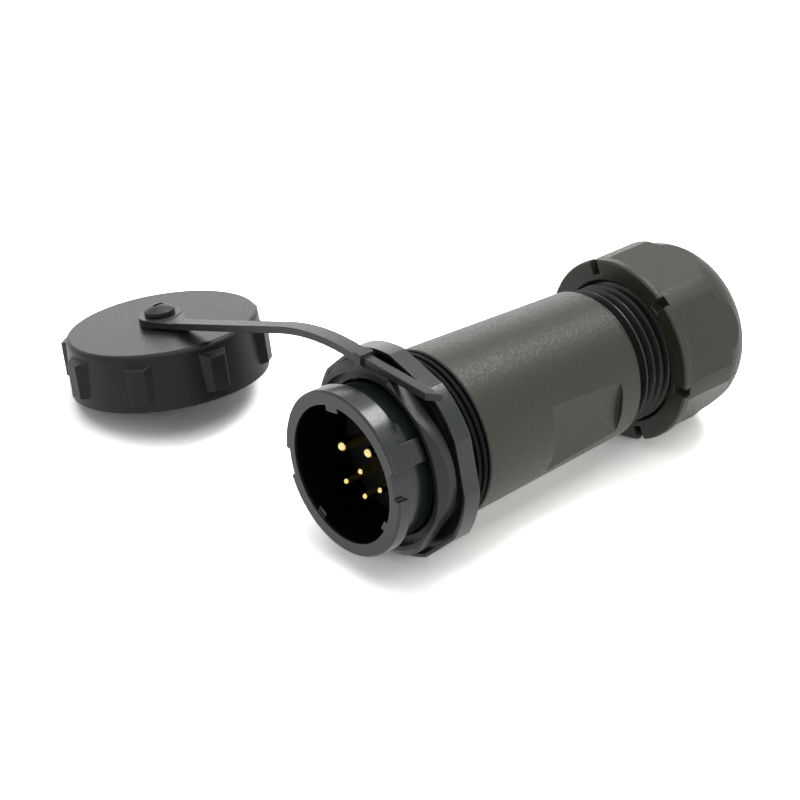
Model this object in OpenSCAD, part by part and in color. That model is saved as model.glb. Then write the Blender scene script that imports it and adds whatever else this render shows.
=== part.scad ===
/* [Twist-lock rim] */
// Outer radius of the rim that the mating ring turns on
rim_r = 11.5; // [9:0.1:14]
// Radius of the mating bore
bore_r = 9.6; // [8.8:0.05:10]
// Radius of the neck and of the locking groove floor
neck_r = 10.6; // [10.2:0.05:11]
// Depth of the mating bore from the rim face
socket_depth = 9; // [7.5:0.1:11]
// Mean distance from the rim face to the locking ramp
ramp_mid = 2.25; // [2:0.05:2.6]
// Slope of the locking ramp
ramp_tilt = 4.7; // [3:0.1:6]
// Direction of the far end of the ramp, clockwise from the top
ramp_peak = 230; // [220:1:244]
// Distance from the rim face to the back of the stop block
stop_len = 5.35; // [5:0.05:5.5]
// Angle that one entry notch opens
notch_deg = 20; // [14:1:28]
// Angle that one stop block fills
stop_deg = 16; // [10:1:24]
// Width of the resting slit beside the stop block
slit_deg = 3.4; // [1.5:0.1:4]
// Turn of the shell about its own axis as it lies
shell_roll = -15; // [-30:1:30]

/* [Keys in the bore] */
// Height of the keys above the bore wall
key_h = 0.85; // [0.5:0.05:1.2]
// Width of the main key
key_w = 2.2; // [1.4:0.1:3]
// Width of the other keys
side_key_w = 1.5; // [1:0.1:2]
// Distance from the rim face to the inner end of the keys
key_len = 6.5; // [4:0.1:7]
// Direction of the main key, clockwise from the shell's top
key_dir = 3.7; // [0:0.1:8]
// Distance of the other keys behind the rim face
key_drop = 0.4; // [0.2:0.1:1]

/* [Neck and flange] */
// Distance from the rim face to the front of the flange
neck_len = 8.3; // [7.8:0.1:9.5]
// Width of the flange across its flats
flange_af = 28.3; // [28:0.1:29]
// Radius that the flange corners are turned to
flange_r = 14.65; // [14.4:0.05:15]
// Thickness of the flange
flange_t = 2.6; // [2.2:0.1:3.2]
// Wall left around the pocket in the flange
pocket_wall = 0.5; // [0.4:0.05:0.9]
// Depth of the pocket in the flange
pocket_depth = 1.3; // [0.6:0.1:1.4]

/* [Rear tube and insert] */
// Outer radius of the tube behind the flange
tube_r = 10.2; // [9.9:0.05:10.4]
// Bore radius of that tube
tube_bore_r = 8.6; // [8.2:0.05:9]
// Length of that tube behind the wire grommet
tube_lip = 1.3; // [0.8:0.1:1.6]
// How far the insert stands out of the bore floor
insert_proud = 1; // [0.5:0.1:1.5]
// Length of the insert
insert_len = 12; // [10:0.5:12.5]
// Thickness of the insert retaining ring
ring_t = 1.3; // [0.8:0.1:1.6]
// Width of the insert retaining ring
ring_w = 1.4; // [1:0.1:2]
// Thickness of the rubber wire grommet
grommet_t = 3.2; // [2.4:0.1:3.6]

/* [Contacts] */
// Radius of the power pins
power_r = 0.8; // [0.6:0.05:1]
// Radius of the signal pins
signal_r = 0.5; // [0.35:0.05:0.65]
// Distance of the power pin tips behind the rim face
power_tip = 2.4; // [2:0.1:4.5]
// Distance of the signal pin tips behind the rim face
signal_tip = 2.8; // [2:0.1:4.5]
// Half the spacing of the power pins
power_x = 2.75; // [2.4:0.05:3.2]
// Height of the power pins above the axis
power_up = 2.45; // [2:0.05:3]
// Half the spacing of the outer signal pins
signal_x = 3.55; // [3.2:0.05:4]
// Heights of the inner, outer and lowest signal pins below the axis
signal_down = [0.72, 2.72, 4.22];

/* [Seals behind the flange] */
// Thickness of the flange gasket
gasket_t = 1; // [0.7:0.1:1.5]
// Outer radius of the flange gasket
gasket_r = 12.5; // [12:0.1:13.4]
// Thickness of the slip washer
washer_t = 0.4; // [0.3:0.1:0.8]
// Outer radius of the slip washer
washer_r = 12.3; // [11.9:0.1:13]
// Thickness of the barrel seal
barrel_seal_t = 3.1; // [2:0.1:4]
// Outer radius of the barrel seal
barrel_seal_r = 11.75; // [11.5:0.05:12]
// Depth of the grooves in the barrel seal
seal_groove = 0.45; // [0.3:0.05:0.6]

/* [Barrel] */
// Radius of the barrel at its front
barrel_front_r = 11.85; // [11.6:0.05:12.6]
// Radius of the barrel at its rear
barrel_rear_r = 10.72; // [10.6:0.05:11.4]
// Length of the barrel without its thread
barrel_len = 29; // [27:0.5:36]
// Gap between the shell tube and the floor of its socket
socket_gap = 0.7; // [0.4:0.1:1]
// Radius of the space for the wires
wire_space_r = 9; // [8.4:0.1:9.2]
// Half the width across the wrench flats
flat_half = 10.1; // [9.9:0.05:10.5]
// Distance from the barrel front to the wrench flats
flat_start = 12.1; // [8:0.1:14]
// Length of the wrench flats
flat_len = 13.1; // [9:0.1:13.5]
// Direction that a wrench flat faces, clockwise from the top
flat_dir = 95; // [0:1:180]

/* [Gland thread] */
// Crest radius of the gland thread
thread_r = 10; // [9.8:0.05:10.2]
// Depth of the gland thread
thread_h = 0.9; // [0.6:0.05:1]
// Pitch of the gland thread
pitch = 1.5; // [1:0.25:1.5]
// Number of turns on the thread
thread_turns = 6; // [6:1:6]
// Plain run-out between the barrel and the thread
runout = 0.6; // [0.4:0.1:1]
// Bore radius of the threaded end
gland_bore_r = 8; // [7.6:0.05:8.2]

/* [Gland] */
// Width of the gland nut across its flats
nut_af = 25; // [24.2:0.1:25.6]
// Radius that the nut corners are turned to
nut_r = 13.7; // [13.5:0.05:14]
// Radius of the round collar at the nut front
collar_r = 13.05; // [12.8:0.05:13.2]
// Thickness of that collar
collar_t = 1.2; // [1:0.1:1.6]
// Distance from the nut front to the end of the corners
corner_end = 9; // [8.5:0.1:9.2]
// Gap between the barrel and the gland nut
nut_gap = 6; // [5.8:0.1:6.6]
// Length of the gland nut
nut_len = 15.6; // [15:0.1:17]
// Radius of the nut at the foot of its dome
dome_foot_r = 12.6; // [12.5:0.05:12.8]
// Rounding radius of the dome
dome_r = 6.3; // [5.8:0.1:6.6]
// Radius of the cable opening in the gland nut
nut_hole_r = 6.6; // [5.8:0.1:7]
// Direction of one nut corner, clockwise from the top
nut_clock = 36; // [0:1:59]
// Width of the slots in the nut front
nut_slot_w = 1.5; // [1:0.1:2]
// Depth of the slots in the nut front
nut_slot_d = 1.3; // [0.8:0.1:2]
// Wall of the clamping cage
cage_wall = 0.9; // [0.6:0.05:1.1]
// Length of the clamping cage
cage_len = 14; // [13:0.5:14]
// Number of clamping fingers
finger_count = 6; // [4:1:10]
// Width of the slits between the fingers
finger_slit = 1.2; // [0.8:0.1:1.6]
// Bore radius of the cable seal
cable_r = 4.5; // [3.5:0.1:5.2]
// Thickness of the ring between the fingers and the nut
slip_ring_t = 0.7; // [0.5:0.1:0.8]

/* [Cap] */
// Radius of the cap at its top
cap_top_r = 14.2; // [13.8:0.1:15]
// Radius of the cap at its open edge
cap_edge_r = 14.7; // [14.3:0.1:15.2]
// Height of the cap
cap_h = 8.4; // [8.2:0.1:10]
// Thickness of the cap top
cap_wall = 1.8; // [1.4:0.1:2.4]
// Clearance of the cap around the rim
cap_fit = 0.35; // [0.2:0.05:0.6]
// Rounding of the top edge of the cap
cap_round = 0.7; // [0.4:0.1:1.2]
// Number of grip ribs
rib_count = 8; // [6:1:10]
// Height of the grip ribs
rib_h = 1.3; // [1:0.05:1.6]
// Width of the grip ribs at their foot
rib_w = 4.1; // [2.8:0.1:4.4]
// Width of the grip ribs at their crest
rib_crest_w = 2.4; // [1.4:0.1:2.6]
// Length of the grip ribs
rib_len = 5.7; // [4:0.1:6]
// Distance of the grip ribs below the cap top
rib_drop = 1.4; // [1.2:0.1:1.8]
// Turn of the ribs about the cap axis
rib_turn = 44; // [0:0.5:44.5]
// Thickness of the cap gasket
cap_gasket_t = 1.2; // [0.8:0.1:1.5]

/* [Strap] */
// Half the width of the strap ring across its flats
strap_ring_half = 12.45; // [12.2:0.05:12.6]
// Reach of the strap ring's rounded corners from the axis
strap_ring_r = 13.8; // [13.2:0.05:14]
// Radius of the strap ring's front edge
strap_front_r = 12.6; // [12.5:0.05:12.9]
// Thickness of the lip around the front of the strap ring
strap_lip = 0.45; // [0.3:0.05:0.6]
// Depth of the recess inside that lip
strap_recess = 1.1; // [0.6:0.1:1.3]
// Width of the strap ring along the axis
strap_ring_w = 2.2; // [2:0.05:2.3]
// Direction of one corner of the strap ring, clockwise from the top
strap_ring_turn = -15; // [-30:1:30]
// Thickness of the band
band_t = 1; // [0.8:0.05:1.3]
// Width of the band
band_w = 2.2; // [2:0.05:2.3]
// Height of the band's upper face above the axis at its root
band_top = 14.1; // [13.8:0.05:14.3]
// Distance from the axis to the root of the band
root_x = 3.7; // [3.5:0.05:4.5]
// Reach of the band past the ring on the other side
tail_x = 11.9; // [10:0.1:12.5]
// Length of the sloping corner of that end
tail_slope = 2.7; // [2:0.1:4.5]
// Width of the post at the root
post_w = 1.4; // [1:0.1:2]
// Height of the post above the band
post_h = 0.35; // [0.2:0.05:0.6]
// Reach of the web under the band past the axis
web_x = 2.5; // [1.5:0.1:3]
// Sideways swing of the band from square to the axis
band_yaw = 4.4; // [2:0.1:5]
// Roll of the band about its length, towards the mating end
band_roll = 0.8; // [0:0.1:6]
// Bend radius of the band where it leaves the ring
bend_r = 45.8; // [35:0.1:60]
// Slope of the straight run of the band
band_slope = 22.7; // [18:0.1:26]
// Length of the straight run of the band
band_run = 29.6; // [24:0.05:36]
// Bend radius of the band at the cap
end_bend_r = 12; // [8:0.5:16]
// Slope of the cap as it lies
cap_tilt = 11.8; // [10:0.1:16]
// Distance from the end bend to the eyelet centre
eyelet_reach = 3.7; // [3.6:0.1:5]
// Radius of the eyelet
eyelet_r = 3.2; // [2.8:0.1:3.6]
// How far the eyelet stands above the band
eyelet_rise = 0.2; // [0.1:0.05:0.4]

/* [Rivet] */
// Radius of the rivet shank
rivet_r = 1.5; // [1.2:0.05:1.8]
// Radius of the rivet head
rivet_head_r = 2.25; // [2:0.05:2.6]
// Height of the rivet head
rivet_head_h = 1.35; // [1.1:0.05:1.6]
// Length of the slot in the rivet head
rivet_slot_l = 1.7; // [1:0.1:2]
// Width of the slot in the rivet head
rivet_slot_w = 0.75; // [0.3:0.05:0.9]

/* [Fits] */
// Clearance of pieces that stay together
seat_fit = 0.05; // [0.02:0.01:0.08]
// Clearance of pieces that turn or slide
run_fit = 0.08; // [0.05:0.01:0.1]
// Clearance of the strap ring on the neck
ring_fit = 0.3; // [0.2:0.05:0.4]
// Gap between the strap ring and the flange
ring_gap = 0.55; // [0.4:0.05:0.6]
// Gap between faces that pass each other
face_gap = 0.15; // [0.1:0.05:0.2]

/* [Edges] */
// Bevel on the turned edges
bevel = 0.25; // [0.1:0.05:0.4]

/* [Hidden] */
$fn = 96;
eps = 0.01;

flange_back = neck_len + flange_t;
insert_y = socket_depth - insert_proud;
insert_end = insert_y + insert_len;
ring_y = insert_end + seat_fit;
grommet_y = ring_y + ring_t + seat_fit;
tube_end = grommet_y + grommet_t + tube_lip;
gasket_y = flange_back;
washer_y = gasket_y + gasket_t;
barrel_seal_y = washer_y + washer_t;
barrel_y = barrel_seal_y + barrel_seal_t;
barrel_end = barrel_y + barrel_len;
thread_y = barrel_end + runout;
spigot_end = thread_y + thread_turns * pitch;
nut_y = barrel_end + nut_gap;
nut_end = nut_y + nut_len;
nut_travel = nut_gap - 0.8;
cage_r = gland_bore_r - run_fit;
cage_end = spigot_end + nut_travel + 0.8;
cage_y = cage_end - cage_len;
seal_r = cage_r - cage_wall - seat_fit;
slip_ring_y = cage_end + seat_fit;
cone_y = slip_ring_y + slip_ring_t + face_gap;
nut_bore_r = thread_r + run_fit;
pocket_r = flange_r - pocket_wall;
pocket_af = flange_af - 2 * pocket_wall;
ring_back = neck_len - ring_gap;
ring_front = ring_back - strap_ring_w;
ring_mid = (ring_back + ring_front) / 2;
cap_seat = band_t + face_gap;
cap_in_r = rim_r + cap_fit;
rivet_hole_r = rivet_r + run_fit;
pin_spots = [
    [-power_x, power_up, power_r], [power_x, power_up, power_r],
    [0, -signal_down[0], signal_r], [-signal_x, -signal_down[1], signal_r],
    [signal_x, -signal_down[1], signal_r], [0, -signal_down[2], signal_r]
];
bend_end = [bend_r * sin(band_slope), -bend_r * (1 - cos(band_slope))];
run_end = bend_end + band_run * [cos(band_slope), -sin(band_slope)];
turn_end = run_end + end_bend_r * [sin(band_slope) - sin(cap_tilt), cos(band_slope) - cos(cap_tilt)];
eyelet_at = turn_end + eyelet_reach * [cos(cap_tilt), -sin(cap_tilt)];
// points of the band's upper face, each with the slope there
band_path = concat(
    [[-1.5, 0, 0]],
    [for (a = [0 : band_slope / 12 : band_slope + eps]) [bend_r * sin(a), -bend_r * (1 - cos(a)), a]],
    [for (i = [0 : 4]) let (a = band_slope + (cap_tilt - band_slope) * i / 4)
        [run_end[0] + end_bend_r * (sin(band_slope) - sin(a)),
         run_end[1] + end_bend_r * (cos(band_slope) - cos(a)), a]],
    [[eyelet_at[0] - 2.2 * cos(cap_tilt), eyelet_at[1] + 2.2 * sin(cap_tilt), cap_tilt]]
);

front_grey = [0.30, 0.31, 0.31];
barrel_grey = [0.31, 0.31, 0.29];
cap_grey = [0.36, 0.36, 0.35];
rubber_black = [0.04, 0.04, 0.04];
insert_black = [0.05, 0.05, 0.05];
gold = [0.83, 0.66, 0.28];

// connector axis along +Y, the rim face at y = 0
module along_axis() { rotate([-90, 0, 0]) children(); }

// as along_axis, turned with the shell as it lies
module in_shell() { along_axis() rotate([0, 0, shell_roll]) children(); }

// turns local +X to a direction measured clockwise from the top
module clock(a) { rotate([0, 0, a - 90]) children(); }

module tube(r_out, r_in, from, to) {
    translate([0, 0, from]) difference() {
        cylinder(r = r_out, h = to - from);
        translate([0, 0, -eps]) cylinder(r = r_in, h = to - from + 2 * eps);
    }
}

module hex_outline(af, r, turn = 0) {
    intersection() {
        rotate(turn) circle(r = af / sqrt(3), $fn = 6);
        circle(r = r);
    }
}

// arc-shaped block between two radii, centred on a clock direction
module arc_block(r_in, r_out, from, to, mid, span) {
    rotate([0, 0, mid - span / 2 - 90]) rotate_extrude(angle = span)
        translate([r_in, from]) square([r_out - r_in, to - from]);
}

// cut for one of the two starts of the lock, deeper than the neck that fills it
module locking_groove() {
    floor_r = neck_r - 0.3;
    sweep = 180 - stop_deg;
    first = 90 - notch_deg / 2;
    // entry notch, open to the front
    arc_block(floor_r, rim_r + 1, -1, stop_len + 1, 90, notch_deg);
    // groove behind the sloped ramp, as far as the next stop block
    intersection() {
        arc_block(floor_r, rim_r + 1, 0, stop_len + 1, first + sweep / 2, sweep);
        rotate([0, 0, ramp_peak - 270]) translate([0, 0, ramp_mid]) rotate([0, ramp_tilt, 0])
            translate([-20, -20, 0]) cube([40, 40, 20]);
    }
    // slit where the lug comes to rest
    arc_block(floor_r, rim_r + 1, ramp_mid + 0.1, stop_len + 1,
              first + sweep - slit_deg / 2 + 0.3, slit_deg);
}

module key(a, w, drop) {
    clock(a) translate([bore_r - key_h, -w / 2, drop]) cube([key_h + 0.3, w, key_len - drop]);
}

module front_shell() {
    color(front_grey) in_shell() difference() {
        union() {
            difference() {
                rotate_extrude() polygon([[0, 0], [rim_r - bevel, 0], [rim_r, bevel], [rim_r, stop_len], [0, stop_len]]);
                locking_groove();
                rotate([0, 0, 180]) locking_groove();
            }
            cylinder(r = neck_r, h = neck_len + 0.5);
            difference() {
                translate([0, 0, neck_len]) linear_extrude(flange_t) hex_outline(flange_af, flange_r, 30);
                translate([0, 0, neck_len - eps]) linear_extrude(pocket_depth + eps) difference() {
                    hex_outline(pocket_af, pocket_r, 30);
                    circle(r = neck_r + 1);
                }
            }
            translate([0, 0, flange_back - 0.5]) cylinder(r = tube_r, h = tube_end - flange_back + 0.5);
        }
        difference() {
            translate([0, 0, -1]) cylinder(r = bore_r, h = socket_depth + 1);
            key(key_dir, key_w, 0);
            for (a = [132, 224]) key(a, side_key_w, key_drop);
        }
        translate([0, 0, socket_depth - 1]) cylinder(r = tube_bore_r, h = tube_end);
    }
}

module at_pin(i) { in_shell() translate([pin_spots[i][0], -pin_spots[i][1], 0]) children(); }

function body_r(i) = pin_spots[i][2] + 0.35;

module pin_insert() {
    color(insert_black) in_shell() difference() {
        translate([0, 0, insert_y]) cylinder(r = tube_bore_r - seat_fit, h = insert_len);
        for (i = [0 : 5]) translate([pin_spots[i][0], -pin_spots[i][1], 0]) {
            translate([0, 0, insert_y - 1]) cylinder(r = pin_spots[i][2] + seat_fit, h = 4);
            translate([0, 0, insert_y + 2]) cylinder(r = body_r(i) + seat_fit, h = insert_len);
        }
    }
}

module pin(i) {
    r = pin_spots[i][2];
    tip = i < 2 ? power_tip : signal_tip;
    color(gold) at_pin(i) rotate_extrude() difference() {
        union() {
            translate([0, tip + r]) square([r, insert_y + 3 - tip - r]);
            intersection() {
                translate([0, tip + r]) circle(r = r);
                translate([0, tip]) square([r, 2 * r]);
            }
            translate([0, insert_y + 2 + seat_fit]) square([body_r(i), insert_len + 1]);
        }
        // cup for the wire
        translate([-1, insert_end - 1]) square([r + 1, 10]);
    }
}

module power_pin_1() { pin(0); }
module power_pin_2() { pin(1); }
module signal_pin_1() { pin(2); }
module signal_pin_2() { pin(3); }
module signal_pin_3() { pin(4); }
module signal_pin_4() { pin(5); }

module insert_ring() {
    r = tube_bore_r - seat_fit;
    color(front_grey) in_shell() tube(r, r - ring_w, ring_y, ring_y + ring_t);
}

module wire_grommet() {
    color(rubber_black) in_shell() difference() {
        translate([0, 0, grommet_y]) cylinder(r = tube_bore_r - seat_fit, h = grommet_t);
        for (i = [0 : 5]) translate([pin_spots[i][0], -pin_spots[i][1], grommet_y - 1])
            cylinder(r = body_r(i) + seat_fit, h = grommet_t + 2);
    }
}

module flange_gasket() {
    color(rubber_black) along_axis() tube(gasket_r, tube_r + seat_fit, gasket_y, washer_y);
}

module slip_washer() {
    color(front_grey) along_axis() tube(washer_r, tube_r + seat_fit, washer_y, barrel_seal_y);
}

module barrel_seal() {
    step = barrel_seal_t / 3;
    color(rubber_black) along_axis() translate([0, 0, barrel_seal_y]) rotate_extrude() polygon(concat(
        [[tube_r + seat_fit, 0]],
        [for (i = [0 : 2], p = [[0, 0], [0, 0.5], [-seal_groove, 0.68], [-seal_groove, 0.82]])
            [barrel_seal_r + p[0], (i + p[1]) * step]],
        [[barrel_seal_r, barrel_seal_t], [tube_r + seat_fit, barrel_seal_t]]));
}

module thread_outline() {
    root = thread_r - thread_h;
    polygon(concat(
        [[0, 0], [root, 0], [root, runout]],
        [for (i = [0 : thread_turns - 1], p = [[root, 0.1], [thread_r, 0.42], [thread_r, 0.58], [root, 0.9]])
            [p[0], runout + (i + p[1]) * pitch]],
        [[root, runout + thread_turns * pitch], [0, runout + thread_turns * pitch]]
    ));
}

module barrel() {
    color(barrel_grey) along_axis() difference() {
        union() {
            rotate_extrude() polygon([[0, barrel_y], [barrel_front_r - bevel, barrel_y],
                [barrel_front_r, barrel_y + bevel], [barrel_rear_r, barrel_end - bevel],
                [barrel_rear_r - bevel, barrel_end], [0, barrel_end]]);
            translate([0, 0, barrel_end]) rotate_extrude() thread_outline();
        }
        translate([0, 0, barrel_y - 1]) cylinder(r = tube_r + seat_fit, h = tube_end + socket_gap - barrel_y + 1);
        translate([0, 0, barrel_y]) cylinder(r = wire_space_r, h = flat_start + flat_len);
        translate([0, 0, barrel_y]) cylinder(r = gland_bore_r, h = spigot_end - barrel_y + 1);
        for (a = [flat_dir, flat_dir + 180]) clock(a)
            translate([flat_half, -12, barrel_y + flat_start]) cube([6, 24, flat_len]);
    }
}

module gland_cage() {
    color(barrel_grey) along_axis() difference() {
        tube(cage_r, cage_r - cage_wall, cage_y, cage_end);
        for (i = [0 : finger_count - 1]) rotate([0, 0, i * 360 / finger_count])
            translate([0, -finger_slit / 2, cage_end - cage_len / 2]) cube([cage_r + 1, finger_slit, cage_len]);
    }
}

module gland_seal() {
    color(rubber_black) along_axis() tube(seal_r, cable_r, cage_y + 0.5, cage_end - 0.5);
}

module slip_ring() {
    color(barrel_grey) along_axis()
        tube(nut_bore_r - 3 * run_fit, cage_r - 2.5, slip_ring_y, slip_ring_y + slip_ring_t);
}

module nut_outline() {
    dome_y = nut_len - sqrt(dome_r * dome_r - 2.4 * 2.4);
    in_collar = collar_t - 0.3;
    inner_r = collar_r - 0.25;
    polygon([[0, in_collar], [inner_r, in_collar], [nut_r, in_collar + 0.2 * (nut_r - inner_r)],
             [nut_r, corner_end], [dome_foot_r - 0.3, corner_end + nut_r - dome_foot_r + 0.3],
             [0, corner_end + nut_r - dome_foot_r + 0.3]]);
    square([dome_foot_r - dome_r, nut_len]);
    intersection() {
        translate([dome_foot_r - dome_r, dome_y]) circle(r = dome_r);
        translate([0, dome_y + 0.2]) square([dome_foot_r + 1, nut_len - dome_y - 0.2]);
    }
}

// threaded bore, cone that closes the fingers, and cable opening
module nut_bore_outline() {
    polygon([[0, -1], [nut_bore_r + 1.4, -1], [nut_bore_r + 0.4, 0], [nut_bore_r, 0.6],
             [nut_bore_r, cone_y - nut_y], [nut_hole_r, nut_len - 1.6], [nut_hole_r, nut_len + 1],
             [0, nut_len + 1]]);
}

module gland_nut() {
    color(barrel_grey) along_axis() translate([0, 0, nut_y]) difference() {
        union() {
            intersection() {
                rotate_extrude() nut_outline();
                clock(nut_clock) linear_extrude(nut_len) circle(r = nut_af / sqrt(3), $fn = 6);
            }
            rotate_extrude() polygon([[0, 0], [collar_r - bevel, 0], [collar_r, bevel],
                                      [collar_r, collar_t], [0, collar_t]]);
        }
        rotate_extrude() nut_bore_outline();
        for (i = [0 : 5]) clock(nut_clock + 60 * i)
            translate([nut_bore_r + 1.1, -nut_slot_w / 2, -1]) cube([6, nut_slot_w, nut_slot_d + 1]);
    }
}

// strap frame: local +X along the band, the band's upper face at z = 0
module at_band() {
    translate([-root_x, ring_mid, band_top]) rotate([0, 0, 180 - band_yaw]) rotate([-band_roll, 0, 0]) children();
}

// eyelet frame: local +Z along the rivet, the eyelet's upper face at z = 0
module at_eyelet() {
    at_band() translate([eyelet_at[0], 0, eyelet_at[1]]) rotate([0, cap_tilt, 0]) children();
}

module cap_outline() {
    difference() {
        union() {
            polygon([[0, 0], [cap_top_r - cap_round, 0], [cap_top_r, -cap_round],
                     [cap_edge_r, -cap_h], [0, -cap_h]]);
            intersection() {
                translate([cap_top_r - cap_round, -cap_round]) circle(r = cap_round);
                translate([cap_top_r - cap_round, -cap_round]) square(cap_round);
            }
        }
        translate([-1, -cap_h - 1]) square([cap_in_r + 1, cap_h + 1 - cap_wall]);
    }
}

// grip rib with sloping sides and ends
module rib() {
    crest_r = cap_top_r + rib_h;
    foot_w = rib_w + (rib_w - rib_crest_w) / rib_h;
    intersection() {
        translate([0, 0, -cap_h]) linear_extrude(cap_h) polygon([[cap_top_r - 1, -foot_w / 2],
            [crest_r, -rib_crest_w / 2], [crest_r, rib_crest_w / 2], [cap_top_r - 1, foot_w / 2]]);
        rotate([90, 0, 0]) translate([0, 0, -10]) linear_extrude(20) polygon([
            [cap_top_r - 1, -rib_drop + 0.3], [crest_r + 0.1, -rib_drop - 0.3 * rib_h - 0.03],
            [crest_r + 0.1, -rib_drop - rib_len + 0.3], [cap_top_r - 1, -rib_drop - rib_len]]);
    }
}

module cap() {
    color(cap_grey) at_eyelet() translate([0, 0, -cap_seat]) difference() {
        union() {
            rotate_extrude() cap_outline();
            for (i = [0 : rib_count - 1]) rotate([0, 0, rib_turn + i * 360 / rib_count]) rib();
            // lugs that turn into the locking groove
            for (a = [0, 180]) intersection() {
                arc_block(neck_r + cap_fit, cap_in_r + 0.5, -cap_wall - cap_gasket_t - stop_len + 0.6,
                          -cap_wall - cap_gasket_t - ramp_mid - 1, 90 + a, notch_deg - 4);
                translate([0, 0, -cap_h]) cylinder(r = cap_in_r + 1, h = cap_h);
            }
        }
        translate([0, 0, -cap_wall - 1]) cylinder(r = rivet_hole_r, h = cap_wall + 2);
    }
}

module cap_gasket() {
    color(rubber_black) at_eyelet() translate([0, 0, -cap_seat - cap_wall - cap_gasket_t])
        tube(cap_in_r - seat_fit, bore_r - 0.4, 0, cap_gasket_t - eps);
}

// root of the band: post, flat bar across the top, and web down to the ring
module strap_root_outline() {
    left = -root_x - 0.2;
    low = band_top - band_t;
    polygon([[left, strap_ring_half - 0.6], [left, band_top + post_h], [left + post_w, band_top + post_h],
             [left + post_w, band_top], [tail_x, band_top], [tail_x, low], [web_x, low],
             [web_x, strap_ring_half - 0.6]]);
}

// ring with four rounded corners whose front slopes in to a circle
module strap_ring() {
    slope = strap_ring_r + 0.5 - strap_front_r;
    corner = (strap_ring_half * sqrt(2) - strap_ring_r) / (sqrt(2) - 1);
    middle = strap_ring_half - corner;
    intersection() {
        clock(strap_ring_turn) linear_extrude(strap_ring_w) rotate(45) polygon([
            for (q = [0 : 3], i = [0 : 20]) let (a = 90 * q + 4.5 * i, m = 90 * q + 45)
                [middle * sqrt(2) * cos(m) + corner * cos(a), middle * sqrt(2) * sin(m) + corner * sin(a)]]);
        rotate_extrude() polygon([[0, 0], [strap_front_r, 0], [strap_front_r + slope, 0.9 * slope],
                                  [strap_front_r + slope, 3], [0, 3]]);
    }
}

module band_outline() {
    polygon(concat(
        [for (p = band_path) [p[0], p[1]]],
        [for (i = [len(band_path) - 1 : -1 : 0]) let (p = band_path[i])
            [p[0] - band_t * sin(p[2]), p[1] - band_t * cos(p[2])]]));
}

module cap_strap() {
    color(cap_grey) difference() {
        union() {
            along_axis() translate([0, 0, ring_front]) strap_ring();
            translate([0, ring_back, 0]) rotate([90, 0, 0]) linear_extrude(strap_ring_w) strap_root_outline();
            at_band() translate([0, band_w / 2, 0]) rotate([90, 0, 0]) linear_extrude(band_w) band_outline();
            at_eyelet() translate([0, 0, -band_t - eps]) cylinder(r = eyelet_r, h = band_t + eyelet_rise + eps);
            // taper from the eyelet to the band
            at_eyelet() translate([0, 0, 0.1 - band_t]) linear_extrude(band_t) polygon([
                [-0.9, -0.95 * eyelet_r], [-0.9, 0.95 * eyelet_r],
                [-6, band_w / 2 - 0.05], [-6, 0.05 - band_w / 2]]);
        }
        along_axis() translate([0, 0, ring_front - 1]) cylinder(r = neck_r + ring_fit, h = strap_ring_w + 2);
        along_axis() translate([0, 0, ring_front - 1]) cylinder(r = strap_ring_half - strap_lip, h = strap_recess + 1);
        at_eyelet() translate([0, 0, -band_t - 1]) cylinder(r = rivet_hole_r, h = band_t + 2);
        // sloping corner at the far end
        translate([tail_x - tail_slope, ring_front, band_top - band_t - 1]) linear_extrude(band_t + 2)
            polygon([[0, -1], [tail_slope + 1, -1], [tail_slope + 1, strap_ring_w + 1],
                     [tail_slope + 0.4, strap_ring_w + 0.3], [0, 0]]);
    }
}

module cap_rivet() {
    foot = cap_seat + cap_wall;
    head = eyelet_rise + face_gap;
    head_dome = 0.6 * rivet_head_h;
    head_curve = (rivet_head_r * rivet_head_r + head_dome * head_dome) / (2 * head_dome);
    color(cap_grey) at_eyelet() difference() {
        // spread foot inside the cap, shank, low domed head
        rotate_extrude() union() {
            polygon([[0, -foot - 0.8], [rivet_r + 0.5, -foot - 0.8], [rivet_r + 0.5, -foot - seat_fit],
                [rivet_r, -foot - seat_fit], [rivet_r, head], [rivet_head_r, head],
                [rivet_head_r, head + 0.4 * rivet_head_h], [0, head + 0.4 * rivet_head_h]]);
            intersection() {
                translate([0, head + rivet_head_h - head_curve]) circle(r = head_curve);
                translate([0, head]) square([rivet_head_r, 2 * rivet_head_h]);
            }
        }
        translate([-rivet_slot_w / 2, -rivet_slot_l / 2, head + rivet_head_h - 0.5])
            cube([rivet_slot_w, rivet_slot_l, 1]);
    }
}

front_shell();
pin_insert();
power_pin_1();
power_pin_2();
signal_pin_1();
signal_pin_2();
signal_pin_3();
signal_pin_4();
insert_ring();
wire_grommet();
flange_gasket();
slip_washer();
barrel_seal();
barrel();
gland_cage();
gland_seal();
slip_ring();
gland_nut();
cap();
cap_gasket();
cap_strap();
cap_rivet();
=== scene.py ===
import math
import bmesh
import bpy
from mathutils import Matrix, Vector


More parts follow.
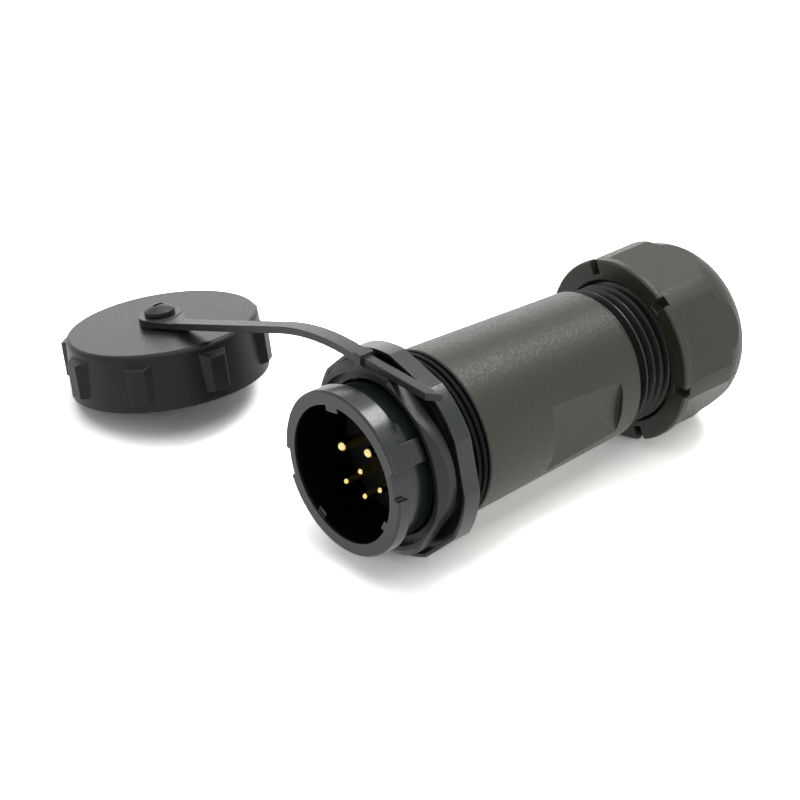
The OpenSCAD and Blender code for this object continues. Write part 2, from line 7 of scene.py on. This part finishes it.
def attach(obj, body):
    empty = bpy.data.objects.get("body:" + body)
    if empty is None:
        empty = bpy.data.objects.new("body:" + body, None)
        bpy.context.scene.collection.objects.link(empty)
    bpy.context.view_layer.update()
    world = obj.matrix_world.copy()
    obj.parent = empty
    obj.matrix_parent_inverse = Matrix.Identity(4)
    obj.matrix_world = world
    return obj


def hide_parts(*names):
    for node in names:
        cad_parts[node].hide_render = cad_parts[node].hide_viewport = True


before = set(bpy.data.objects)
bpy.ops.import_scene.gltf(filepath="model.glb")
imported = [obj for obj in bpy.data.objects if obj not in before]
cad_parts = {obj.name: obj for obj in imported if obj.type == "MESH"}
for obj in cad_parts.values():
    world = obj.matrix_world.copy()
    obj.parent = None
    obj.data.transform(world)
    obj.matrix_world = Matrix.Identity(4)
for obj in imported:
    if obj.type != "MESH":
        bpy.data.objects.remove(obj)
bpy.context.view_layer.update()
mm = 0.001
scene = bpy.context.scene
scene.view_settings.view_transform = "Standard"
print("frame loaded:", len(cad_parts), "nodes")


def linearHex(hexText):
    out = []
    for i in (0, 2, 4):
        c = int(hexText[i:i + 2], 16) / 255
        out.append(c / 12.92 if c <= 0.04045 else ((c + 0.055) / 1.055) ** 2.4)
    return (*out, 1.0)


def addNode(tree, kind, settings=None, links=None):
    node = tree.nodes.new(kind)
    for key, value in (settings or {}).items():
        if isinstance(key, int) or key in node.inputs:
            node.inputs[key].default_value = value
        else:
            setattr(node, key, value)
    for key, source in (links or {}).items():
        tree.links.new(source, node.inputs[key])
    return node


def linkObject(name, data):
    thing = bpy.data.objects.new(name, data)
    scene.collection.objects.link(thing)
    return thing


# camera at the photo's place: long lens, looking down on the mating end
cameraSet = {"azimuth": 49.05, "elevation": 30.08, "place": (0.2112, -0.1732, 0.1693),
             "focalPixels": 2489.3, "imagePixels": 800, "sensorWidth": 36, "clip": (0.01, 20)}


def makeCamera(s):
    a, e = math.radians(s["azimuth"]), math.radians(s["elevation"])
    back = Vector((math.sin(a) * math.cos(e), -math.cos(a) * math.cos(e), math.sin(e)))
    right = Vector((math.cos(a), math.sin(a), 0))
    up = back.cross(right)
    data = bpy.data.cameras.new("photoCamera")
    data.sensor_fit = "HORIZONTAL"
    data.sensor_width = s["sensorWidth"]
    data.lens = s["focalPixels"] / s["imagePixels"] * s["sensorWidth"]
    data.clip_start, data.clip_end = s["clip"]
    camera = linkObject("photoCamera", data)
    facing = Matrix((right, up, back)).transposed().to_4x4()
    camera.matrix_world = Matrix.Translation(s["place"]) @ facing
    scene.camera = camera


makeCamera(cameraSet)

# lamps: a wide soft box overhead, a strip behind that glints on the rim and the nut's corners,
# a soft box behind the cap and a low fill on the right
lampSet = {
    "overhead": {"place": (0.0, 0.05, 0.9), "aim": (0, 0.03, 0), "size": (1.2, 1.2), "power": 5.1},
    "backStrip": {"place": (-0.02, 0.54, 0.76), "aim": (0, 0.02, 0), "size": (0.35, 0.2), "power": 2.2},
    "backLeft": {"place": (-0.74, 0.52, 0.18), "aim": (-0.03, 0.02, 0), "size": (0.6, 0.6), "power": 1.4},
    "rightFill": {"place": (0.8, 0.1, 0.3), "aim": (0, 0.03, 0), "size": (0.45, 0.45), "power": 1.6},
}
# white sweep: the part lies on its flange and nut, so the floor rises to the nut
stageSet = {"floorHeight": -14.72 * mm, "floorLean": 1.9, "floorPivot": 10 * mm, "floorHalf": 3.0,
            "floorColour": "F2F2F0", "floorGain": 1.9, "floorGlow": 0.42, "worldStrength": 0.25}


def makeLamp(name, s):
    data = bpy.data.lights.new(name, "AREA")
    data.shape = "RECTANGLE"
    data.size, data.size_y = s["size"]
    data.energy = s["power"]
    lamp = linkObject(name, data)
    lamp.location = s["place"]
    lamp.rotation_euler = (Vector(s["aim"]) - Vector(s["place"])).to_track_quat("-Z", "Y").to_euler()


def seenDirectly(tree, lightPath):
    rays = addNode(tree, "ShaderNodeMath", {"operation": "ADD"},
                   {0: lightPath.outputs["Is Camera Ray"], 1: lightPath.outputs["Is Transmission Ray"]})
    return addNode(tree, "ShaderNodeMath", {"operation": "ADD", "use_clamp": True},
                   {0: rays.outputs[0], 1: lightPath.outputs["Is Glossy Ray"]})


def makeWorld(s):
    world = bpy.data.worlds.new("studio")
    scene.world = world
    world.use_nodes = True
    tree = world.node_tree
    tree.nodes.clear()
    seen = seenDirectly(tree, addNode(tree, "ShaderNodeLightPath"))
    plain = addNode(tree, "ShaderNodeBackground", {"Color": (1, 1, 1, 1), "Strength": s["worldStrength"]})
    white = addNode(tree, "ShaderNodeBackground", {"Color": (1, 1, 1, 1), "Strength": 1.0})
    mix = addNode(tree, "ShaderNodeMixShader", None,
                  {0: seen.outputs[0], 1: plain.outputs[0], 2: white.outputs[0]})
    addNode(tree, "ShaderNodeOutputWorld", None, {"Surface": mix.outputs[0]})


# the camera sees the paper over-exposed, as in the photo, so that only the shadows near the part stay
def makePaper(s):
    paper = bpy.data.materials.new("whitePaperSweep")
    paper.use_nodes = True
    tree = paper.node_tree
    tree.nodes.clear()
    lightPath = addNode(tree, "ShaderNodeLightPath")
    seen = seenDirectly(tree, lightPath)
    mirrored = addNode(tree, "ShaderNodeMath", {"operation": "SUBTRACT"},
                       {0: seen.outputs[0], 1: lightPath.outputs["Is Camera Ray"]})
    glow = addNode(tree, "ShaderNodeMath", {"operation": "MULTIPLY", 1: s["floorGlow"]}, {0: mirrored.outputs[0]})
    pale = linearHex(s["floorColour"])
    bright = [c * (1 + s["floorGain"]) for c in pale[:3]] + [1.0]
    tone = addNode(tree, "ShaderNodeMix", {"data_type": "RGBA", 6: pale, 7: bright},
                   {0: lightPath.outputs["Is Camera Ray"]})
    diffuse = addNode(tree, "ShaderNodeBsdfDiffuse", None, {"Color": tone.outputs[2]})
    emit = addNode(tree, "ShaderNodeEmission", {"Color": (1, 1, 1, 1)}, {"Strength": glow.outputs[0]})
    both = addNode(tree, "ShaderNodeAddShader", None, {0: diffuse.outputs[0], 1: emit.outputs[0]})
    addNode(tree, "ShaderNodeOutputMaterial", None, {"Surface": both.outputs[0]})
    return paper


def makeFloor(s):
    half = s["floorHalf"]
    lean = math.tan(math.radians(s["floorLean"]))
    corners = ((-half, -half), (half, -half), (half, half), (-half, half))
    mesh = bpy.data.meshes.new("floor")
    mesh.from_pydata([(x, y, s["floorHeight"] + (y - s["floorPivot"]) * lean) for x, y in corners], [], [(0, 1, 2, 3)])
    mesh.materials.append(makePaper(s))
    linkObject("floor", mesh)


makeWorld(stageSet)
makeFloor(stageSet)
for lampName, lampValues in lampSet.items():
    makeLamp(lampName, lampValues)
print("camera and stage ready")

# finishes: what each real material is, and what its moulding or plating gives the eye
finishes = {
    # glass-filled nylon from a polished mould: near black and glossy, so its greys are reflections,
    # with faint flow clouds and edges painted paler as a painted highlight. Its bore is painted darker and less
    # glossy, as painted shade
    "nylonPolished": {"colour": "1c2221", "cloudColour": "242a29", "edgeHighlightColour": "444746", "rough": (0.17, 0.25),
                      "cloudMm": 7, "grainMm": 0.4, "grainHeightMm": 0.004, "edgeMm": 0.14, "shader": {"IOR": 1.53},
                      "bore": {"radius": 9.63 * mm, "start": 0.45 * mm, "colour": "080909",
                               "outerGloss": 0.5, "innerGloss": 0.12}},
    # nylon from a spark-eroded mould: fine even grain that breaks the highlight into specks,
    # drawn about twice as coarse as real so that it shows
    "nylonSparked": {"colour": "2a2c23", "cloudColour": "32342a", "edgeHighlightColour": "494a43", "rough": (0.3, 0.5),
                     "cloudMm": 9, "grainMm": 0.42, "grainHeightMm": 0.045, "edgeMm": 0.18,
                     "shader": {"IOR": 1.53, "Specular IOR Level": 0.4}},
    # the same nylon where a thread is cut in the mould: smooth, its colour painted darker as painted shade, its crests
    # painted bright as a painted highlight
    "nylonThreadShaded": {"colour": "191918", "cloudColour": "1f1f1e", "edgeHighlightColour": "4a4a46", "rough": (0.24, 0.34),
                    "cloudMm": 5, "grainMm": 0.4, "grainHeightMm": 0.003, "edgeMm": 0.08,
                    "shader": {"IOR": 1.53, "Specular IOR Level": 0.4}},
    # nylon of the cap: finer grain, a shade lighter on top where light skims it
    "nylonFineGrain": {"colour": "1b1b19", "cloudColour": "222220", "edgeHighlightColour": "444441", "rough": (0.3, 0.4),
                       "cloudMm": 8, "grainMm": 0.34, "grainHeightMm": 0.014, "edgeMm": 0.2,
                       "shader": {"IOR": 1.53, "Specular IOR Level": 0.22}},
    # soft polyamide of the strap and its rivet: smooth and a little waxy
    "polyamideSoft": {"colour": "1e1e1d", "cloudColour": "262625", "edgeHighlightColour": "3c3c3a", "rough": (0.32, 0.44),
                      "cloudMm": 6, "grainMm": 0.6, "grainHeightMm": 0.006, "edgeMm": 0.16,
                      "shader": {"IOR": 1.53, "Specular IOR Level": 0.4}},
    # nitrile rubber, moulded, matt and black
    "nitrileRubber": {"colour": "050505", "cloudColour": "080808", "edgeHighlightColour": "1a1a1a", "rough": (0.5, 0.68),
                      "cloudMm": 3, "grainMm": 0.3, "grainHeightMm": 0.008, "edgeMm": 0.1,
                      "shader": {"IOR": 1.52, "Specular IOR Level": 0.1}},
    # filled PBT of the insert, matt and very dark
    "filledPbt": {"colour": "050505", "cloudColour": "080808", "edgeHighlightColour": "0c0c0c", "rough": (0.5, 0.62),
                  "cloudMm": 4, "grainMm": 0.3, "grainHeightMm": 0.006, "edgeMm": 0.1,
                  "shader": {"IOR": 1.57, "Specular IOR Level": 0.2}},
    # gold plating on turned brass: pale and bright, with a fine turned grain
    "goldPlate": {"colour": "fbe7a8", "cloudColour": "f3d98b", "edgeHighlightColour": "fff3cc", "rough": (0.14, 0.24),
                  "cloudMm": 1.2, "grainMm": 0.12, "grainHeightMm": 0.001, "edgeMm": 0.08,
                  "shader": {"Metallic": 1.0}},
}
# shared by all finishes: depth of the noises, and the spans that the edge and the grain are read over
patternSet = {"cloudDetail": 3.0, "grainDetail": 2.0, "grainRoughness": 0.6, "grainSpan": (0.3, 0.7),
              "bevelSamples": 8, "edgeTurn": (0.99, 0.8)}


# 1 inside the bore, where shade is painted, and 0 elsewhere
def boreShadeMask(tree, place, s):
    across = addNode(tree, "ShaderNodeVectorMath", {"operation": "MULTIPLY", 1: (1, 0, 1)}, {0: place.outputs["Object"]})
    radius = addNode(tree, "ShaderNodeVectorMath", {"operation": "LENGTH"}, {0: across.outputs[0]})
    narrow = addNode(tree, "ShaderNodeMath", {"operation": "LESS_THAN", 1: s["radius"]}, {0: radius.outputs["Value"]})
    axes = addNode(tree, "ShaderNodeSeparateXYZ", None, {0: place.outputs["Object"]})
    deep = addNode(tree, "ShaderNodeMath", {"operation": "GREATER_THAN", 1: s["start"]}, {0: axes.outputs["Y"]})
    return addNode(tree, "ShaderNodeMath", {"operation": "MULTIPLY"}, {0: narrow.outputs[0], 1: deep.outputs[0]})


def makeFinish(name, s, p):
    material = bpy.data.materials.new(name)
    material.use_nodes = True
    tree = material.node_tree
    tree.nodes.clear()
    place = addNode(tree, "ShaderNodeTexCoord")
    cloud = addNode(tree, "ShaderNodeTexNoise", {"Scale": 1 / (s["cloudMm"] * mm), "Detail": p["cloudDetail"]},
                    {"Vector": place.outputs["Object"]})
    grain = addNode(tree, "ShaderNodeTexNoise",
                    {"Scale": 1 / (s["grainMm"] * mm), "Detail": p["grainDetail"], "Roughness": p["grainRoughness"]},
                    {"Vector": place.outputs["Object"]})
    # rounded edge normals, and how far they turn from the flat ones marks the edge that is painted paler, a painted
    # highlight
    roundEdge = addNode(tree, "ShaderNodeBevel", {"samples": p["bevelSamples"], "Radius": s["edgeMm"] * mm})
    flat = addNode(tree, "ShaderNodeNewGeometry")
    turn = addNode(tree, "ShaderNodeVectorMath", {"operation": "DOT_PRODUCT"},
                   {0: roundEdge.outputs[0], 1: flat.outputs["Normal"]})
    level, turned = p["edgeTurn"]
    edge = addNode(tree, "ShaderNodeMapRange", {"From Min": level, "From Max": turned, "To Min": 0.0, "To Max": 1.0},
                   {"Value": turn.outputs["Value"]})
    body = addNode(tree, "ShaderNodeMix",
                   {"data_type": "RGBA", 6: linearHex(s["colour"]), 7: linearHex(s["cloudColour"])},
                   {0: cloud.outputs["Fac"]})
    # painted highlight: the edges are mixed towards the paler edge colour
    colour = addNode(tree, "ShaderNodeMix", {"data_type": "RGBA", 7: linearHex(s["edgeHighlightColour"])},
                     {0: edge.outputs[0], 6: body.outputs[2]})
    shaderLinks = {}
    # painted shade: inside the bore the colour is darkened and the specular dimmed
    if "bore" in s:
        bore = s["bore"]
        inside = boreShadeMask(tree, place, bore)
        colour = addNode(tree, "ShaderNodeMix", {"data_type": "RGBA", 7: linearHex(bore["colour"])},
                         {0: inside.outputs[0], 6: colour.outputs[2]})
        gloss = addNode(tree, "ShaderNodeMapRange", {"To Min": bore["outerGloss"], "To Max": bore["innerGloss"]},
                        {"Value": inside.outputs[0]})
        shaderLinks["Specular IOR Level"] = gloss.outputs[0]
    low, high = s["rough"]
    grainLow, grainHigh = p["grainSpan"]
    rough = addNode(tree, "ShaderNodeMapRange", {"From Min": grainLow, "From Max": grainHigh, "To Min": low, "To Max": high},
                    {"Value": grain.outputs["Fac"]})
    bump = addNode(tree, "ShaderNodeBump", {"Strength": 1.0, "Distance": s["grainHeightMm"] * mm},
                   {"Height": grain.outputs["Fac"], "Normal": roundEdge.outputs[0]})
    shaderLinks.update({"Base Color": colour.outputs[2], "Roughness": rough.outputs[0], "Normal": bump.outputs[0]})
    shader = addNode(tree, "ShaderNodeBsdfPrincipled", s["shader"], shaderLinks)
    addNode(tree, "ShaderNodeOutputMaterial", None, {"Surface": shader.outputs[0]})
    return material


finishNodes = {
    "nylonPolished": ("front_shell", "insert_ring", "gland_cage", "slip_ring"),
    "nylonSparked": ("barrel", "gland_nut"),
    "nylonFineGrain": ("cap",),
    "polyamideSoft": ("cap_strap", "cap_rivet"),
    "nitrileRubber": ("slip_washer", "flange_gasket", "barrel_seal", "wire_grommet", "gland_seal", "cap_gasket"),
    "filledPbt": ("pin_insert",),
    "goldPlate": ("power_pin_1", "power_pin_2", "signal_pin_1", "signal_pin_2", "signal_pin_3", "signal_pin_4"),
}
made = {name: makeFinish(name, s, patternSet) for name, s in finishes.items()}
for finishName, nodeNames in finishNodes.items():
    for nodeName in nodeNames:
        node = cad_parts[nodeName]
        node.data.materials.clear()
        node.data.materials.append(made[finishName])
print("finishes set on", sum(len(nodeNames) for nodeNames in finishNodes.values()), "nodes")

mergeDistance = 1e-7


def smoothMesh(mesh, degrees):
    shape = bmesh.new()
    shape.from_mesh(mesh)
    bmesh.ops.remove_doubles(shape, verts=shape.verts, dist=mergeDistance)
    bmesh.ops.recalc_face_normals(shape, faces=shape.faces)
    shape.to_mesh(mesh)
    shape.free()
    mesh.shade_smooth()
    mesh.set_sharp_from_angle(angle=math.radians(degrees))


def copyNode(name, nodeName, degrees):
    piece = linkObject(name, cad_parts[nodeName].data.copy())
    mesh = piece.data
    mesh.attributes.remove(mesh.attributes["custom_normal"])  # the kept normals belong to the loose triangles
    smoothMesh(mesh, degrees)
    return piece


def applyModifiers(piece):
    mesh = bpy.data.meshes.new_from_object(piece.evaluated_get(bpy.context.evaluated_depsgraph_get()))
    piece.modifiers.clear()
    piece.data = mesh
    return mesh


def makeCutter(name, points, faces):
    mesh = bpy.data.meshes.new(name)
    mesh.from_pydata(points, [], faces)
    smoothMesh(mesh, 30)
    return linkObject(name, mesh)


def cutAway(piece, cutters):
    for cutter in cutters:
        cut = piece.modifiers.new(cutter.name, "BOOLEAN")
        cut.operation, cut.solver, cut.object = "DIFFERENCE", "EXACT", cutter
    mesh = applyModifiers(piece)
    for cutter in cutters:
        bpy.data.objects.remove(cutter)
    return mesh


def axisRadius(point):
    return math.hypot(point.x, point.z)


# gland thread: right-hand helix of 1.5 mm pitch that fades in at the barrel's shoulder
threadSet = {"rootRadius": 9.1 * mm, "crestRadius": 10.0 * mm, "sink": 0.05 * mm, "pitch": 1.5 * mm,
             "start": 44.75 * mm, "turns": 6.05, "footWidth": 1.2 * mm, "crestWidth": 0.22 * mm,
             "stepsPerTurn": 96, "fadeEnd": 0.09, "fadeScale": 0.12, "sharp": 25}


def makeThreadTree(s):
    tree = bpy.data.node_groups.new("glandThread", "GeometryNodeTree")
    face = tree.interface
    for name in ("Root Radius", "Height", "Turns", "Length", "Foot Width", "Crest Width"):
        face.new_socket(name, in_out="INPUT", socket_type="NodeSocketFloat")
    face.new_socket("Start", in_out="INPUT", socket_type="NodeSocketVector")
    face.new_socket("Finish", in_out="INPUT", socket_type="NodeSocketMaterial")
    face.new_socket("Geometry", in_out="OUTPUT", socket_type="NodeSocketGeometry")
    given = addNode(tree, "NodeGroupInput").outputs
    spiral = addNode(tree, "GeometryNodeCurveSpiral", {"Resolution": s["stepsPerTurn"]},
                     {"Rotations": given["Turns"], "Height": given["Length"],
                      "Start Radius": given["Root Radius"], "End Radius": given["Root Radius"]})
    upright = addNode(tree, "GeometryNodeSetCurveNormal", {"mode": "Z_UP"}, {0: spiral.outputs[0]})
    along = addNode(tree, "GeometryNodeSplineParameter")
    fade = addNode(tree, "ShaderNodeMapRange",
                   {"From Min": 0.0, "From Max": s["fadeEnd"], "To Min": s["fadeScale"], "To Max": 1.0},
                   {"Value": along.outputs["Factor"]})
    faded = addNode(tree, "GeometryNodeSetCurveRadius", None, {"Curve": upright.outputs[0], "Radius": fade.outputs[0]})
    outline = addNode(tree, "GeometryNodeCurvePrimitiveQuadrilateral", {"mode": "TRAPEZOID", "Offset": 0.0},
                      {"Bottom Width": given["Foot Width"], "Top Width": given["Crest Width"], "Height": given["Height"]})
    lift = addNode(tree, "ShaderNodeMath", {"operation": "MULTIPLY", 1: 0.5}, {0: given["Height"]})
    liftBy = addNode(tree, "ShaderNodeCombineXYZ", None, {"Y": lift.outputs[0]})
    standing = addNode(tree, "GeometryNodeTransform", None,
                       {"Geometry": outline.outputs[0], "Translation": liftBy.outputs[0]})
    # the crest points away from the axis
    turned = addNode(tree, "GeometryNodeTransform", {"Rotation": (0, 0, math.radians(90))},
                     {"Geometry": standing.outputs[0]})
    ridge = addNode(tree, "GeometryNodeCurveToMesh", {"Fill Caps": True},
                    {"Curve": faded.outputs[0], "Profile Curve": turned.outputs[0]})
    laid = addNode(tree, "GeometryNodeTransform", {"Rotation": (math.radians(-90), 0, 0)},
                   {"Geometry": ridge.outputs[0], "Translation": given["Start"]})
    real = addNode(tree, "GeometryNodeRealizeInstances", None, {"Geometry": laid.outputs[0]})
    done = addNode(tree, "GeometryNodeSetMaterial", None, {"Geometry": real.outputs[0], "Material": given["Finish"]})
    addNode(tree, "NodeGroupOutput", None, {"Geometry": done.outputs[0]})
    return tree


def makeThread(s):
    piece = linkObject("gland_thread", bpy.data.meshes.new("gland_thread"))
    nodes = piece.modifiers.new("glandThread", "NODES")
    nodes.node_group = makeThreadTree(s)
    values = {"Root Radius": s["rootRadius"] - s["sink"], "Height": s["crestRadius"] - s["rootRadius"] + s["sink"],
              "Turns": s["turns"], "Length": s["turns"] * s["pitch"], "Start": (0, s["start"], 0),
              "Foot Width": s["footWidth"], "Crest Width": s["crestWidth"], "Finish": made["nylonThreadShaded"]}
    for item in nodes.node_group.interface.items_tree:
        if item.in_out == "INPUT":
            nodes[item.identifier] = values[item.name]
    smoothMesh(applyModifiers(piece), s["sharp"])
    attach(piece, "base")
    return piece


# barrel with a plain core under the helix, the threaded end in the smooth finish whose darker colour is painted shade
barrelSet = {"coreRadius": threadSet["rootRadius"], "ridges": (45.02 * mm, 53.98 * mm), "sharp": 20,
             "smoothShadedStart": 44.39 * mm, "smoothShadedRadius": 9.5 * mm}


def makeBarrel(s):
    piece = copyNode("barrel_body", "barrel", s["sharp"])
    mesh = piece.data
    mesh.materials.append(made["nylonThreadShaded"])
    low, high = s["ridges"]
    for v in mesh.vertices:
        r = axisRadius(v.co)
        if low < v.co.y < high and r > s["coreRadius"]:
            v.co.x *= s["coreRadius"] / r
            v.co.z *= s["coreRadius"] / r
    # painted shade: the threaded end takes the darker thread finish
    for f in mesh.polygons:
        corners = [mesh.vertices[i].co for i in f.vertices]
        if all(c.y > s["smoothShadedStart"] and axisRadius(c) < s["smoothShadedRadius"] for c in corners):
            f.material_index = 1
    smoothMesh(mesh, s["sharp"])
    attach(piece, "base")
    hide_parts("barrel")
    return piece


threadPiece = makeThread(threadSet)
makeBarrel(barrelSet)
radii = [axisRadius(v.co) / mm for v in threadPiece.data.vertices]
print("gland thread:", len(threadPiece.data.polygons), "faces, radius mm", round(min(radii), 2), round(max(radii), 2))

# gland nut trimmed to the photo: 24 mm across its flats, with corners that start no higher than a wider collar
nutSet = {"front": 50.4 * mm, "clock": math.radians(36), "side": math.radians(60), "acrossFlats": 24.1 * mm,
          "cornerRadius": 13.2 * mm, "arcSteps": 4, "collarBack": 1.19 * mm, "collarRadius": 13.06 * mm,
          "collarGrow": 0.25 * mm, "collarEnd": 1.196 * mm, "faceRadius": 12.75 * mm, "leadStart": 1.2 * mm,
          "leadEnd": 3.5 * mm, "leadRadius": 13.3 * mm, "clear": 20 * mm, "roundSteps": 128, "near": 0.01 * mm,
          "sharp": 12}


# closed ring: each point of the profile goes round the axis at the given angles
def ringCutter(name, front, angles, profile):
    count = len(angles)
    points = [(r * math.sin(a), front + y, r * math.cos(a)) for r, y in profile for a in angles]
    faces = []
    for i in range(len(profile)):
        here, there = i * count, (i + 1) % len(profile) * count
        for k in range(count):
            n = (k + 1) % count
            faces.append((here + k, here + n, there + n, there + k))
    return makeCutter(name, points, faces)


def makeNut(s):
    piece = copyNode("gland_nut_body", "gland_nut", s["sharp"])
    clear, half = s["clear"], s["side"] / 2
    around = [2 * math.pi * k / s["roundSteps"] for k in range(s["roundSteps"])]
    lead = ringCutter("nutLead", s["front"], around,
                      ((s["collarRadius"], -clear), (s["collarRadius"], s["leadStart"]),
                       (s["leadRadius"], s["leadEnd"]), (clear, s["leadEnd"]), (clear, -clear)))
    halfCorner = half - math.acos(s["acrossFlats"] / 2 / s["cornerRadius"])
    corners = [s["clock"] + s["side"] * i + halfCorner * (2 * k / s["arcSteps"] - 1)
               for i in range(6) for k in range(s["arcSteps"] + 1)]
    flats = ringCutter("nutFlats", s["front"], corners,
                       ((s["cornerRadius"], s["collarBack"]), (s["cornerRadius"], clear),
                        (clear, clear), (clear, s["collarBack"])))
    mesh = cutAway(piece, (lead, flats))
    # the collar grows, and the feet of the flats stay where they are
    for v in mesh.vertices:
        y, r = v.co.y - s["front"], axisRadius(v.co)
        turn = (math.atan2(v.co.x, v.co.z) - s["clock"] + half) % s["side"] - half
        flatRadius = s["acrossFlats"] / 2 / math.cos(half - abs(turn))
        onFlat = y > s["collarBack"] - s["near"] and abs(r - flatRadius) < s["near"]
        if y < s["collarEnd"] and r > s["faceRadius"] and not onFlat:
            v.co.x *= 1 + s["collarGrow"] / r
            v.co.z *= 1 + s["collarGrow"] / r
    smoothMesh(mesh, s["sharp"])
    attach(piece, "gland_nut")
    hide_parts("gland_nut")
    return piece


nutPiece = makeNut(nutSet)
print("gland nut:", len(nutPiece.data.polygons), "faces")

# strap with a bar across the flange that is narrower than its solid's, as the photo shows
strapSet = {"barX": (-2.49 * mm, 13 * mm), "barZ": (13.05 * mm, 15 * mm), "barFront": (4.55 * mm, 5.9 * mm),
            "barBack": (7.25 * mm, 8.75 * mm), "sharp": 20}


def boxCutter(name, xSpan, ySpan, zSpan):
    points = [(x, y, z) for x in xSpan for y in ySpan for z in zSpan]
    faces = [(0, 1, 3, 2), (4, 6, 7, 5), (0, 4, 5, 1), (2, 3, 7, 6), (0, 2, 6, 4), (1, 5, 7, 3)]
    return makeCutter(name, points, faces)


def makeStrap(s):
    piece = copyNode("cap_strap_body", "cap_strap", s["sharp"])
    cutters = [boxCutter(side, s["barX"], s[side], s["barZ"]) for side in ("barFront", "barBack")]
    smoothMesh(cutAway(piece, cutters), s["sharp"])
    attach(piece, "strap")
    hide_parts("cap_strap")
    return piece


strapPiece = makeStrap(strapSet)
print("strap:", len(strapPiece.data.polygons), "faces")
